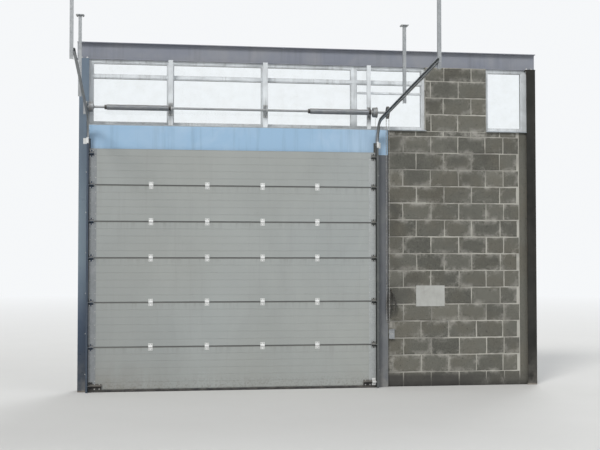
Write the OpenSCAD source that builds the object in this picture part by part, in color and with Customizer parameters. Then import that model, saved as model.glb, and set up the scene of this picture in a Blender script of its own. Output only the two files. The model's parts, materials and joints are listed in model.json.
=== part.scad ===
// One bay of an industrial end wall, with its overhead sectional door.
// X runs along the wall to the right as seen from the room, -Y is the room side, Z is up.
// The origin is under the left column, at the middle of its base plate. Sizes are in millimetres.

/* [Wall] */
// Distance between the centre lines of the two columns
bay_w = 6410; // [6200:10:7000]
// Thickness of the block wall
wall_t = 200; // [180:5:230]
// Height of one course of blocks with its joint
course_h = 244; // [240:1:255]
// Number of courses below the window sill
course_count = 15; // [15:1:17]
// Width of the solid pier between the two windows
pier_w = 905; // [700:5:1100]
// Width of the blank plate on the wall
plate_w = 420; // [300:10:600]
// Height of the blank plate on the wall
plate_h = 297; // [200:1:420]
// Thickness of the blank plate on the wall
plate_t = 3; // [2:0.5:6]
// Height of the blank plate's lower edge above the floor
plate_z = 1140; // [1000:10:1600]
// Distance from the door post to the blank plate
plate_x = 420; // [200:10:700]

/* [Steel frame] */
// Width of a column's flanges
column_w = 135; // [120:1:160]
// Depth of a column from face to face
column_d = 270; // [250:1:300]
// Thickness of a column's flanges
flange_t = 10; // [8:1:14]
// Thickness of a column's web
web_t = 7; // [6:1:12]
// Radius of the fillets between web and flange
root_r = 15; // [10:1:18]
// Thickness of the base plates
base_t = 20; // [15:1:30]
// Radius of the anchor holes in the base plates
anchor_r = 11; // [9:0.5:13]
// Spacing of the anchor holes across the web
anchor_dx = 80; // [70:1:85]
// Spacing of the anchor holes along the web
anchor_dy = 150; // [120:5:170]
// Thickness of the plates on top of the columns
cap_plate_t = 12; // [8:1:20]
// Height of the eaves beam
beam_h = 240; // [200:5:300]
// Width of the eaves beam's flanges
beam_w = 120; // [100:5:150]
// Length of the eaves beam beyond each column's centre line
beam_over = 100; // [80:5:150]
// Width of the door post
post_w = 180; // [150:5:220]
// Wall thickness of the door post and the lintel
tube_t = 8; // [5:1:12]

/* [Windows] */
// Width of the side window from the pier to the right column's face
side_window_w = 600; // [500:10:900]
// Height of the windows from sill to head
window_h = 925; // [800:5:1000]
// Thickness of the window sills
sill_t = 10; // [6:1:40]
// Overhang of the sills on the outside
sill_nose = 15; // [5:1:40]
// Visible width of the window frames
frame_w = 40; // [30:1:70]
// Depth of the window frames
frame_d = 60; // [40:1:80]
// Width of the mullions
mullion_w = 65; // [60:1:100]
// Distance from the left column's face to the first mullion
mullion_x1 = 1115; // [980:5:1200]
// Distance from the first mullion to the second
mullion_pitch_1 = 1325; // [1200:5:1400]
// Distance from the second mullion to the third
mullion_pitch_2 = 1290; // [1200:5:1400]
// Height of the transoms
transom_h = 35; // [25:1:50]
// Distance from the window head to the middle of the transoms
transom_drop = 230; // [150:5:300]
// Thickness of the glass
glass_t = 8; // [4:1:20]

/* [Door leaf] */
// Width of the door leaf
leaf_w = 4000; // [3800:10:4050]
// Height of each of the three lower sections
lower_section_h = 610; // [600:1:615]
// Height of each of the three upper sections
upper_section_h = 500; // [490:1:505]
// Thickness of the sections
leaf_t = 42; // [38:1:50]
// Gap between the leaf and the faces of the posts, for the seals
leaf_gap = 15; // [12:1:25]
// Gap along the wall between the leaf's edge and the post beside it
side_gap = 10; // [5:1:20]
// Height by which the leaf laps over the lintel
leaf_lap = 30; // [20:1:50]
// Height of the tongue between two sections
tongue_h = 11; // [8:0.5:16]
// Clearance between tongue and groove
tongue_clear = 0.5; // [0.2:0.1:1]
// Depth of the step along the long edges of a section
edge_d = 8; // [3:0.5:9]
// Height of the step along the long edges of a section
edge_h = 9; // [4:0.5:11]
// Spacing of the grooves in a section's faces, before rounding to whole bands
rib_pitch = 100; // [80:1:110]
// Width of a groove in a section's face
rib_w = 14; // [6:0.5:18]
// Depth of a groove in a section's face
rib_d = 1.6; // [1:0.1:3]
// Height of the rubber seal under the leaf
seal_h = 35; // [25:1:50]
// Thickness of the end caps' sheet
cap_t = 2; // [1:0.1:3]
// Width of the end caps on the room side
cap_w = 100; // [70:1:120]
// Width of the end caps on the outer side
cap_back_w = 22; // [18:1:30]

/* [Door hardware] */
// Distance from the leaf's edge to the first centre hinge
hinge_margin = 840; // [600:10:1000]
// Width of a hinge
hinge_w = 60; // [50:1:70]
// Height of one hinge plate
hinge_leaf = 48; // [40:1:60]
// Thickness of the hinge plates
hinge_t = 3; // [2:0.5:4]
// Radius of a centre hinge's barrel
barrel_r = 7; // [6:0.5:9]
// Distance from the end caps' face to the rollers' axis
roller_off = 25; // [24:0.5:30]
// Radius of a roller
roller_r = 22.5; // [20:0.1:23.5]
// Width of a roller
roller_w = 14; // [10:0.5:16]
// Radius of a roller's stem
stem_r = 5.5; // [4:0.1:6]
// Clearance round a roller's stem
stem_clear = 0.25; // [0.1:0.05:0.5]
// Height of the lowest roller above the floor
bottom_roller_z = 85; // [75:1:110]
// Distance from the leaf's top edge down to the highest roller
top_roller_drop = 70; // [60:1:100]

/* [Tracks] */
// Width of the track profile
track_w = 50; // [49:0.5:54]
// Depth of the track profile
track_d = 24; // [20:0.5:28]
// Thickness of the track profile
track_t = 2; // [1.5:0.1:2.5]
// Length of the track's lips
track_lip = 8; // [5:0.5:10]
// Gap between the track and the leaf's edge
track_gap = 6; // [6:0.5:12]
// Thickness of the jamb angles
angle_t = 3; // [2:0.5:5]
// Width of the jamb angles on the posts
angle_w = 50; // [46:1:60]
// Radius of the tracks' curve, to the rollers' axis
curve_r = 305; // [300:5:420]
// Height of the curve's lower end above the leaf's top edge
curve_rise = 140; // [90:5:160]
// Slope of the upper tracks, in degrees
track_slope = 5.5; // [1:0.5:7]
// Length of the upper tracks beyond the curve
track_run = 2950; // [2600:50:3200]

/* [Counterbalance] */
// Radius of the shaft
shaft_r = 16; // [12:0.5:18]
// Height of the shaft above the leaf's top edge
shaft_rise = 565; // [540:5:600]
// Outer radius of the torsion springs
spring_r = 40; // [32:1:45]
// Length of a torsion spring
spring_len = 900; // [700:10:900]
// Radius of the cable drums, to the middle of the cable
drum_r = 70; // [60:1:80]
// Width of a cable drum
drum_w = 72; // [60:1:75]
// Radius of the lift cables
cable_r = 2; // [1.5:0.1:2.5]
// Thickness of the bearing plates
bearing_t = 4; // [3:0.5:6]
// Width of the upright that carries the shaft's right end
shaft_post_w = 55; // [50:1:70]
// Depth of the uprights that carry the shaft
shaft_post_d = 40; // [30:1:45]
// Radius of the hand chain's wheel
wheel_r = 90; // [75:1:100]
// Distance from the leaf's edge to the hand chain's wheel
wheel_x = 165; // [110:5:180]
// Thickness of the hand chain
chain_t = 12; // [8:0.5:16]
// Height of the hand chain's lower end above the floor
chain_z = 900; // [700:10:1200]
// Distance from the door post to the middle of the chain's keeper
keeper_x = 60; // [50:5:150]
// Width of the chain's keeper
keeper_w = 80; // [60:2:90]
// Height of the chain's keeper
keeper_h = 140; // [80:5:200]
// Depth of the shelves of the chain's keeper
keeper_d = 40; // [34:1:60]
// Height of the keeper's lower edge above the floor
keeper_z = 680; // [400:10:720]
// Thickness of the keeper's sheet
keeper_t = 4; // [3:0.5:6]

/* [Hidden] */
$fn = 48;

// Colours of the materials
blue_paint = [0.27, 0.38, 0.55];
dark_steel = [0.24, 0.25, 0.25];
galvanised = [0.66, 0.68, 0.69];
coated_white = [0.78, 0.81, 0.80];
concrete_block = [0.42, 0.41, 0.38];
window_grey = [0.55, 0.60, 0.62];
clear_glass = [0.80, 0.90, 0.95, 0.4];
black_rubber = [0.08, 0.08, 0.08];
white_sheet = [0.88, 0.88, 0.86];

// Heights of the wall
wall_h = course_count * course_h;
head_z = wall_h + window_h;
glazing_z = wall_h + sill_t;
transom_z = head_z - transom_drop;

// Places along the wall
face_x = column_w / 2;
pocket_x = web_t / 2;
leaf_x0 = face_x + side_gap;
leaf_x1 = leaf_x0 + leaf_w;
leaf_mid = (leaf_x0 + leaf_x1) / 2;
post_x0 = leaf_x1 + side_gap;
post_x1 = post_x0 + post_w;
pier_x1 = bay_w - face_x - side_window_w;
pier_x0 = pier_x1 - pier_w;
wall_x1 = bay_w - pocket_x;
mullions = [face_x + mullion_x1, face_x + mullion_x1 + mullion_pitch_1,
    face_x + mullion_x1 + mullion_pitch_1 + mullion_pitch_2];

// Places through the wall
face_y = -column_d / 2;
wall_y = wall_t / 2;
leaf_out_y = face_y - leaf_gap;
leaf_in_y = leaf_out_y - leaf_t;
cap_y = leaf_in_y - cap_t;
roller_y = cap_y - roller_off;
cable_y = leaf_out_y - leaf_t / 2;
shaft_y = cable_y - drum_r;

// Heights of the door
section_count = 6;
lower_count = 3;
function joint_z(k) = min(k, lower_count) * lower_section_h
    + max(k - lower_count, 0) * upper_section_h;
leaf_h = joint_z(section_count);
opening_h = leaf_h - leaf_lap;
curve_z = leaf_h + curve_rise;
curve_y = roller_y - curve_r;
curve_turn = 90 - track_slope;
shaft_z = leaf_h + shaft_rise;
hinge_pitch = (leaf_w - 2 * hinge_margin) / 3;
roller_heights = concat([bottom_roller_z], [for (k = [1:section_count - 1]) joint_z(k)],
    [leaf_h - top_roller_drop]);

// Places of the tracks and what stands beside them
track_x = leaf_x0 - track_gap - track_d;
angle_x = track_x - angle_t;
cable_x = leaf_x0 - track_gap / 2;
cable_in = 7;
drum_hub = 12;
drum_x0 = cable_x - cable_in;
drum_x1 = drum_x0 + drum_w;
hanger_w = 40;
hanger_t = 4;
joint_gap = 0.3;
roller_clear = 2;
stem_over = 12;
hanger_end = 60;
hanger_low = 80;
hanger_lap = 30;
flag_low = 120;
flag_high = 60;
flag_turn = 50;
tongue_shoulder = 4;
hinge_inset = 3;
hinge_tube_t = 3;
drum_rim = 8;
tongue_taper = 4;
edge_slant = 3;
bracket_top = 30;
cable_pin_r = 5;
cable_pin_drop = 25;
cable_pin_play = 1;
shaft_start = 12;
shaft_over = 25;
plate_over = 20;
plate_nose = 10;
plate_play = 4;
right_plate_x = leaf_x1 - drum_w - bearing_t - plate_play;
cone_len = 45;
cone_neck = 14;
cone_flange = 8;
flange_over = 2;
wire_t = 4;
wheel_holes = 6;
wheel_hole_r = 9;
wheel_pockets = 12;
pocket_w = 14;
pocket_d = 4;
function run_y(along) = curve_y + curve_r * cos(curve_turn) - along * sin(curve_turn);
function run_z(along) = curve_z + curve_r * sin(curve_turn) + along * cos(curve_turn);

// Extrudes an outline drawn in Y and Z along the wall
module along_x(x, len) {
    translate([x, 0, 0]) rotate([90, 0, 90]) linear_extrude(len) children();
}

// A box given by its lowest corner and its highest corner
module block(low, high) {
    translate(low) cube(high - low);
}

// Repeats a left-hand piece as its mirror image on the door's right side
module other_side() {
    translate([2 * leaf_mid, 0, 0]) mirror([1, 0, 0]) children();
}

module both_sides() {
    children();
    other_side() children();
}

// Outline of a rolled I-section, w across the flanges and d from face to face
module i_outline(w, d, flange, web, root) {
    difference() {
        square([w, d], center = true);
        for (side = [-1, 1]) {
            translate([side * (w + web) / 4, 0]) difference() {
                square([(w - web) / 2, d - 2 * flange], center = true);
                for (end = [-1, 1]) {
                    translate([-side * (w - web) / 4, end * (d / 2 - flange)]) difference() {
                        square(2 * root, center = true);
                        translate([side * root, -end * root]) circle(root);
                    }
                }
            }
        }
    }
}

module column(x) {
    shaft_top = head_z - cap_plate_t;
    color(blue_paint) translate([x, 0, 0]) union() {
        translate([0, 0, base_t]) linear_extrude(shaft_top - base_t)
            i_outline(column_w, column_d, flange_t, web_t, root_r);
        translate([0, 0, shaft_top + cap_plate_t / 2])
            cube([column_w, column_d, cap_plate_t], center = true);
    }
}

module column_left() {
    column(0);
}

module column_right() {
    color(dark_steel) column(bay_w);
}

module base_plates() {
    color(dark_steel) for (x = [0, bay_w]) translate([x, 0, 0]) difference() {
        translate([0, 0, base_t / 2]) cube([column_w, column_d, base_t], center = true);
        for (dx = [-1, 1], dy = [-1, 1])
            translate([dx * anchor_dx / 2, dy * anchor_dy / 2, -1])
                cylinder(r = anchor_r, h = base_t + 2);
    }
}

module eaves_beam() {
    color(dark_steel) along_x(-beam_over, bay_w + 2 * beam_over)
        translate([0, head_z + beam_h / 2]) i_outline(beam_w, beam_h, flange_t, web_t, root_r);
}

// A hollow section that runs from the room-side face to the wall's outer face
module door_post() {
    color(dark_steel) difference() {
        block([post_x0, face_y, 0], [post_x1, wall_y, opening_h]);
        block([post_x0 + tube_t, face_y + tube_t, -1],
            [post_x1 - tube_t, wall_y - tube_t, opening_h + 1]);
    }
}

module lintel() {
    color(blue_paint) difference() {
        block([face_x, face_y, opening_h], [post_x1, wall_y, wall_h]);
        block([face_x - 1, face_y + tube_t, opening_h + tube_t],
            [post_x1 + 1, wall_y - tube_t, wall_h - tube_t]);
    }
}

module block_wall() {
    color(concrete_block) difference() {
        block([post_x1, -wall_y, 0], [wall_x1, wall_y, wall_h]);
        column_space(bay_w);
    }
}

module block_pier() {
    color(concrete_block) block([pier_x0, -wall_y, wall_h], [pier_x1, wall_y, head_z]);
}

// A column with its plates, which the wall, the sills and the windows are cut round
module column_space(x) {
    translate([x, 0, 0]) {
        linear_extrude(head_z) i_outline(column_w, column_d, flange_t, web_t, root_r);
        for (z = [base_t / 2, head_z - cap_plate_t / 2]) translate([0, 0, z])
            cube([column_w, column_d, z < head_z / 2 ? base_t : cap_plate_t], center = true);
    }
}

module window_sills() {
    color(window_grey) difference() {
        union() {
            block([pocket_x, face_y, wall_h], [pier_x0, wall_y + sill_nose, glazing_z]);
            block([pier_x1, face_y, wall_h], [wall_x1, wall_y + sill_nose, glazing_z]);
        }
        column_space(0);
        column_space(bay_w);
    }
}

// A ring of frame, wider where it runs into a column's pocket
module framed_window(x0, x1, left_w, right_w) {
    difference() {
        block([x0, -frame_d / 2, glazing_z], [x1, frame_d / 2, head_z]);
        block([x0 + left_w, -frame_d, glazing_z + frame_w],
            [x1 - right_w, frame_d, head_z - frame_w]);
        column_space(0);
        column_space(bay_w);
    }
}

module window_frames() {
    pocket_w = face_x - pocket_x + frame_w;
    color(window_grey) {
        framed_window(pocket_x, pier_x0, pocket_w, frame_w);
        framed_window(pier_x1, wall_x1, frame_w, pocket_w);
    }
}

// The clear widths between frame and mullions, from left to right
light_x0 = concat([face_x + frame_w], [for (x = mullions) x + mullion_w / 2]);
light_x1 = concat([for (x = mullions) x - mullion_w / 2], [pier_x0 - frame_w]);

module window_bars() {
    color(window_grey) union() {
        for (x = mullions) block([x - mullion_w / 2, -frame_d / 2, glazing_z + frame_w],
            [x + mullion_w / 2, frame_d / 2, head_z - frame_w]);
        block([light_x0[0], -frame_d / 2, transom_z - transom_h / 2],
            [pier_x0 - frame_w, frame_d / 2, transom_z + transom_h / 2]);
    }
}

module window_panes() {
    color(clear_glass) {
        for (i = [0:len(light_x0) - 1]) {
            block([light_x0[i], -glass_t / 2, glazing_z + frame_w],
                [light_x1[i], glass_t / 2, transom_z - transom_h / 2]);
            block([light_x0[i], -glass_t / 2, transom_z + transom_h / 2],
                [light_x1[i], glass_t / 2, head_z - frame_w]);
        }
        block([pier_x1 + frame_w, -glass_t / 2, glazing_z + frame_w],
            [bay_w - face_x - frame_w, glass_t / 2, head_z - frame_w]);
    }
}

// Grooves in one face of a section, as outlines cut out of it
module grooves(z0, z1, y, side) {
    bands = round((z1 - z0) / rib_pitch);
    for (i = [1:bands - 1]) translate([y, z0 + (z1 - z0) * i / bands])
        polygon([[-side, -rib_w / 2], [side * rib_d, -rib_w / 4],
            [side * rib_d, rib_w / 4], [-side, rib_w / 2]]);
}

// The tongue on a section's top edge, grown by a clearance where it cuts the groove
module tongue(z, clear) {
    mid = (leaf_out_y + leaf_in_y) / 2;
    base = leaf_t / 2 - edge_d - tongue_shoulder;
    top = base - tongue_taper;
    translate([mid, z]) polygon([[-base - clear, -1], [base + clear, -1], [base + clear, 0],
        [top + clear, tongue_h + clear], [-top - clear, tongue_h + clear], [-base - clear, 0]]);
}

// Outline of the step cut out of a face at a joint, with slanting sides
module edge_step(side) {
    polygon([[-side, -edge_h], [0, -edge_h], [side * edge_d, edge_slant - edge_h],
        [side * edge_d, edge_h - edge_slant], [0, edge_h], [-side, edge_h]]);
}

// Outline of section k from its lower edge z0 to its upper edge z1
module section_outline(k, z0, z1) {
    difference() {
        union() {
            translate([leaf_in_y, z0]) square([leaf_t, z1 - z0]);
            if (k < section_count) tongue(z1, 0);
        }
        if (k > 1) tongue(z0, tongue_clear);
        for (z = [z0, z1]) {
            translate([leaf_in_y, z]) edge_step(1);
            translate([leaf_out_y, z]) edge_step(-1);
        }
        grooves(z0, z1, leaf_in_y, 1);
        grooves(z0, z1, leaf_out_y, -1);
    }
}

module door_section(k) {
    z0 = k == 1 ? seal_h : joint_z(k - 1);
    color(coated_white) along_x(leaf_x0 + cap_t, leaf_w - 2 * cap_t)
        section_outline(k, z0, joint_z(k));
}

module door_section_1() { door_section(1); }
module door_section_2() { door_section(2); }
module door_section_3() { door_section(3); }
module door_section_4() { door_section(4); }
module door_section_5() { door_section(5); }
module door_section_6() { door_section(6); }

// A rail with a round rubber foot that rests on the floor
module bottom_seal() {
    mid = (leaf_out_y + leaf_in_y) / 2;
    bulb = seal_h * 0.4;
    color(black_rubber) along_x(leaf_x0 + cap_t, leaf_w - 2 * cap_t) union() {
        translate([mid, bulb]) circle(bulb);
        translate([mid - bulb, bulb]) square([2 * bulb, seal_h - bulb]);
        translate([leaf_in_y + edge_d, seal_h - edge_h]) square([leaf_t - 2 * edge_d, edge_h]);
    }
}

// Strips between the jamb angles and the end caps, and between the lintel and the top section
module jamb_seals() {
    seal_w = 12;
    end_x = max(angle_x + angle_w - leaf_x0, cap_back_w) + 1;
    color(black_rubber) {
        both_sides() block([leaf_x0 + cap_t, leaf_out_y + cap_t, seal_h],
            [leaf_x0 + cap_t + seal_w, face_y - angle_t, opening_h]);
        block([leaf_x0 + end_x, leaf_out_y, opening_h + edge_h],
            [leaf_x1 - end_x, face_y, opening_h + edge_h + seal_w]);
    }
}

// Folded caps round the ends of the sections
module end_caps() {
    color(galvanised) for (k = [1:section_count]) {
        z0 = (k == 1 ? seal_h : joint_z(k - 1)) + edge_h;
        translate([0, 0, z0]) linear_extrude(joint_z(k) - edge_h - z0) difference() {
            translate([leaf_x0, cap_y]) square([cap_w, leaf_t + 2 * cap_t]);
            translate([leaf_x0 + cap_t, leaf_in_y]) square([cap_w, leaf_t]);
            translate([leaf_x0 + cap_back_w, leaf_in_y]) square([cap_w, leaf_t + 2 * cap_t]);
        }
    }
}

module end_caps_left() { end_caps(); }
module end_caps_right() { other_side() end_caps(); }

// Outline of a hinge: two plates on the leaf, joined by a barrel that stands off it
module hinge_outline(off, barrel, low, high) {
    translate([-hinge_t, low]) square([hinge_t, high - low]);
    polygon([[0, -3 * barrel], [0, 3 * barrel], [-hinge_t, 3 * barrel], [-off, barrel],
        [-off, -barrel], [-hinge_t, -3 * barrel]]);
    translate([-off, 0]) circle(barrel);
}

module centre_hinges() {
    color(galvanised) for (k = [1:section_count - 1]) for (i = [0:3])
        along_x(leaf_x0 + hinge_margin + i * hinge_pitch - hinge_w / 2, hinge_w)
            translate([leaf_in_y, joint_z(k)])
                hinge_outline(barrel_r, barrel_r, -hinge_leaf, hinge_leaf);
}

bottom_plate_w = 180;
bottom_plate_t = 3;

module end_hinges() {
    color(galvanised) both_sides() for (k = [1:section_count]) {
        last = k == section_count;
        z = last ? leaf_h - top_roller_drop : joint_z(k);
        along_x(leaf_x0 + hinge_inset, hinge_w) translate([cap_y, z]) difference() {
            hinge_outline(roller_off, stem_r + hinge_tube_t, -hinge_leaf, hinge_leaf);
            translate([-roller_off, 0]) circle(stem_r + stem_clear);
        }
    }
}

module bottom_brackets() {
    color(dark_steel) both_sides() {
        along_x(leaf_x0 + hinge_inset, bottom_plate_w) translate([cap_y, bottom_roller_z]) difference() {
            hinge_outline(roller_off, stem_r + hinge_tube_t, -hinge_leaf, bracket_top);
            translate([-roller_off, 0]) circle(stem_r + stem_clear);
        }
        translate([leaf_x0 - track_gap + cable_pin_play, cable_y, bottom_roller_z - cable_pin_drop])
            rotate([0, 90, 0]) cylinder(r = cable_pin_r, h = track_gap - cable_pin_play);
    }
}

// A wheel with rounded tread, a hub and a stem, turned in one outline
module rollers() {
    wheel_x0 = track_x + track_t + roller_clear;
    stem_end = leaf_x0 + hinge_w + stem_over - wheel_x0;
    tread = roller_w / 4;
    color(galvanised) both_sides() for (z = roller_heights)
        translate([wheel_x0, roller_y, z]) rotate([0, 90, 0]) rotate_extrude()
            polygon([[0, 0], [roller_r / 2, 0], [roller_r / 2, tread / 2],
                [roller_r - tread, tread / 2], [roller_r, tread + tread / 2],
                [roller_r, roller_w - tread], [roller_r - tread, roller_w],
                [2 * stem_r, roller_w], [2 * stem_r, roller_w + roller_clear],
                [stem_r, roller_w + roller_clear], [stem_r, stem_end], [0, stem_end]]);
}

// Plate that joins the upright track, the jamb angle and the curve
module flag_outline() {
    low = curve_z - flag_low;
    outer = curve_r + track_w / 2;
    inner = curve_r - track_w / 2;
    polygon([[face_y, low], [face_y, curve_z + flag_high],
        [curve_y + outer * cos(flag_turn), curve_z + outer * sin(flag_turn)],
        [curve_y + inner * cos(flag_turn), curve_z + inner * sin(flag_turn)],
        [roller_y - track_w / 2, curve_z], [roller_y - track_w / 2, low]]);
}

module jamb_angles() {
    color(galvanised) both_sides() union() {
        block([angle_x, face_y - angle_t, 0], [angle_x + angle_w, face_y, curve_z]);
        block([angle_x, roller_y - track_w / 2, 0], [angle_x + angle_t, face_y, curve_z]);
        along_x(angle_x, angle_t) flag_outline();
    }
}

// Outline of the track, first across it and then through its depth
half_w = track_w / 2;
track_points = [[-half_w, 0], [half_w, 0], [half_w, track_d], [half_w - track_lip, track_d],
    [half_w - track_lip, track_d - track_t], [half_w - track_t, track_d - track_t],
    [half_w - track_t, track_t], [track_t - half_w, track_t],
    [track_t - half_w, track_d - track_t], [track_lip - half_w, track_d - track_t],
    [track_lip - half_w, track_d], [-half_w, track_d]];

module upright_track() {
    color(galvanised) translate([track_x, roller_y, 0]) linear_extrude(curve_z)
        polygon([for (p = track_points) [p[1], p[0]]]);
}

module track_left() { upright_track(); }
module track_right() { other_side() upright_track(); }

// Sets a piece in the curve's own plane, with the curve's centre as its origin
module at_curve() {
    color(galvanised) translate([track_x, curve_y, curve_z]) rotate([90, 0, 90]) children();
}

module track_curve() {
    at_curve() rotate_extrude(angle = curve_turn, $fn = 96) translate([curve_r, 0])
        polygon(track_points);
}

module top_track() {
    at_curve() rotate([0, 0, curve_turn]) translate([curve_r, track_run + joint_gap, 0])
        rotate([90, 0, 0]) linear_extrude(track_run) polygon(track_points);
}

module track_curve_left() { track_curve(); }
module track_curve_right() { other_side() track_curve(); }
module top_track_left() { top_track(); }
module top_track_right() { other_side() top_track(); }

// Angles that hang each upper track from the roof at two places, with a plate at the top
module track_hangers() {
    roof_z = head_z + beam_h;
    color(galvanised) both_sides() for (along = [track_run * 0.42, track_run - hanger_end]) {
        y = run_y(along);
        low = run_z(along) - hanger_low;
        union() {
            block([track_x - hanger_t, y, low], [track_x, y + hanger_w, roof_z]);
            block([track_x - hanger_w, y, low], [track_x, y + hanger_t, roof_z]);
            block([track_x - hanger_w - hanger_lap, y - hanger_lap, roof_z - 2 * hanger_t],
                [track_x + hanger_lap, y + hanger_w + hanger_lap, roof_z]);
        }
    }
}

module shaft() {
    x0 = angle_x - bearing_t - shaft_start;
    x1 = leaf_x1 + wheel_x + shaft_over;
    color(galvanised) translate([x0, shaft_y, shaft_z]) rotate([0, 90, 0])
        cylinder(r = shaft_r, h = x1 - x0);
}

// The two plates that hold a spring, which runs from each of them to the left
spring_plates = [mullions[0] - bearing_t / 2, right_plate_x];

// A coiled spring with a flanged cone at its plate and a plain one at its free end
module torsion_springs() {
    neck = spring_r - wire_t;
    core = shaft_r + (neck - shaft_r) / 2;
    color(dark_steel) for (x = spring_plates) translate([x, shaft_y, shaft_z])
        rotate([0, -90, 0]) rotate_extrude() polygon([[shaft_r, 0], [spring_r + flange_over, 0],
            [spring_r + flange_over, cone_flange], [neck, cone_neck], [neck, cone_len],
            [spring_r, cone_len], [spring_r, spring_len - cone_len], [neck, spring_len - cone_len],
            [neck, spring_len - cone_neck], [core, spring_len], [shaft_r, spring_len]]);
}

// Drums with a groove for each turn of the cable, a rim at the outer end and a hub
module cable_drums() {
    pitch = 4 * cable_r;
    turns = floor((drum_w - drum_hub - cable_in) / pitch);
    color(galvanised) both_sides() translate([drum_x0, shaft_y, shaft_z]) rotate([0, 90, 0])
        rotate_extrude() difference() {
            polygon([[shaft_r, 0], [drum_r + drum_rim, 0], [drum_r + drum_rim, cable_in / 2], [drum_r, cable_in / 2],
                [drum_r, drum_w - drum_hub], [2 * shaft_r, drum_w - drum_hub],
                [2 * shaft_r, drum_w], [shaft_r, drum_w]]);
            for (i = [0:turns - 1]) translate([drum_r, cable_in + i * pitch]) circle(cable_r + 0.5);
        }
}

// A plate across the shaft, narrower at its nose, with a foot on the face behind it
module bearing_plate(x, foot_x, foot_w) {
    half = drum_r + plate_over;
    nose = shaft_y - 2 * shaft_r - plate_nose;
    difference() {
        union() {
            along_x(x, bearing_t) translate([0, shaft_z]) polygon([[face_y, -half],
                [shaft_y, -half / 2], [nose, -half / 3], [nose, half / 3], [shaft_y, half / 2],
                [face_y, half]]);
            block([foot_x, face_y - bearing_t, shaft_z - half],
                [foot_x + foot_w, face_y, shaft_z + half]);
        }
        translate([x - 1, shaft_y, shaft_z]) rotate([0, 90, 0])
            cylinder(r = shaft_r, h = bearing_t + 2);
    }
}

module bearing_plates() {
    color(galvanised) {
        bearing_plate(angle_x - bearing_t, angle_x - shaft_post_w, shaft_post_w);
        bearing_plate(right_plate_x, right_plate_x - shaft_post_w / 2, shaft_post_w);
        for (i = [0, 1])
            bearing_plate(mullions[i] - bearing_t / 2, mullions[i] - mullion_w / 2, mullion_w);
    }
}

module shaft_uprights() {
    back_y = face_y + shaft_post_d;
    color(dark_steel) {
        for (i = [0, 1]) block([mullions[i] - mullion_w / 2, face_y, glazing_z],
            [mullions[i] + mullion_w / 2, back_y, head_z]);
        block([right_plate_x - shaft_post_w / 2, face_y, glazing_z],
            [right_plate_x + shaft_post_w / 2, back_y, head_z]);
    }
}

module lift_cables() {
    low = bottom_roller_z - cable_pin_drop + cable_pin_r;
    color(dark_steel) both_sides() translate([cable_x, cable_y, low])
        cylinder(r = cable_r, h = shaft_z - low);
}

// A wheel with slanting rims, a ring with a pocket for each link, a thinner web with holes and a hub
module chain_wheel() {
    rim_t = chain_t / 2;
    width = 2 * chain_t;
    core_r = wheel_r - chain_t;
    ring_r = core_r - chain_t;
    hub_r = 2 * shaft_r;
    color(dark_steel) translate([leaf_x1 + wheel_x - chain_t, shaft_y, shaft_z])
        rotate([0, 90, 0]) difference() {
            rotate_extrude() polygon([[shaft_r, 0], [hub_r, 0], [hub_r, rim_t], [ring_r, rim_t],
                [ring_r, 0], [wheel_r, 0], [wheel_r, rim_t / 2], [core_r, rim_t],
                [core_r, width - rim_t], [wheel_r, width - rim_t / 2], [wheel_r, width],
                [ring_r, width], [ring_r, width - rim_t], [hub_r, width - rim_t],
                [hub_r, width], [shaft_r, width]]);
            for (i = [1:wheel_holes]) rotate([0, 0, i * 360 / wheel_holes])
                translate([(hub_r + ring_r) / 2, 0, 0]) cylinder(r = wheel_hole_r, h = width);
            for (i = [1:wheel_pockets]) rotate([0, 0, i * 360 / wheel_pockets])
                translate([core_r - pocket_d, -pocket_w / 2, rim_t + 1])
                    cube([2 * pocket_d, pocket_w, width - 2 * rim_t - 2]);
        }
}

// One endless loop that hangs from the wheel
module hand_chain() {
    run = shaft_z - chain_z - wheel_r;
    radius = wheel_r - chain_t / 2;
    color(galvanised) translate([leaf_x1 + wheel_x, shaft_y, 0]) rotate([90, 0, 90]) union() {
        translate([0, shaft_z]) rotate_extrude(angle = 180) translate([radius, 0])
            circle(chain_t / 2 - 1);
        translate([0, shaft_z - run]) rotate([0, 0, 180]) rotate_extrude(angle = 180)
            translate([radius, 0]) circle(chain_t / 2 - 1);
        for (side = [-1, 1]) translate([side * radius, shaft_z, 0]) rotate([90, 0, 0])
            cylinder(r = chain_t / 2 - 1, h = run);
    }
}

// A plate with two slotted shelves, on the wall beside the post
module chain_keeper() {
    x = post_x1 + keeper_x;
    color(galvanised) union() {
        block([x - keeper_w / 2, -wall_y - keeper_t, keeper_z],
            [x + keeper_w / 2, -wall_y, keeper_z + keeper_h]);
        for (z = [0, keeper_h - keeper_t]) difference() {
            block([x - keeper_w / 2, -wall_y - keeper_d, keeper_z + z],
                [x + keeper_w / 2, -wall_y, keeper_z + z + keeper_t]);
            block([x - chain_t / 2 - 1, -wall_y - keeper_d - 1, keeper_z + z - 1],
                [x + chain_t / 2 + 1, -wall_y - keeper_d / 2, keeper_z + z + keeper_t + 1]);
        }
    }
}

module wall_plate() {
    color(white_sheet) block([post_x1 + plate_x, -wall_y - plate_t, plate_z],
        [post_x1 + plate_x + plate_w, -wall_y, plate_z + plate_h]);
}

column_left();
column_right();
base_plates();
eaves_beam();
door_post();
lintel();
block_wall();
block_pier();
window_sills();
window_frames();
window_bars();
window_panes();
door_section_1();
door_section_2();
door_section_3();
door_section_4();
door_section_5();
door_section_6();
bottom_seal();
jamb_seals();
end_caps_left();
end_caps_right();
centre_hinges();
end_hinges();
rollers();
bottom_brackets();
jamb_angles();
track_left();
track_right();
track_curve_left();
track_curve_right();
top_track_left();
top_track_right();
track_hangers();
shaft();
torsion_springs();
cable_drums();
bearing_plates();
shaft_uprights();
lift_cables();
chain_wheel();
hand_chain();
chain_keeper();
wall_plate();
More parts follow.
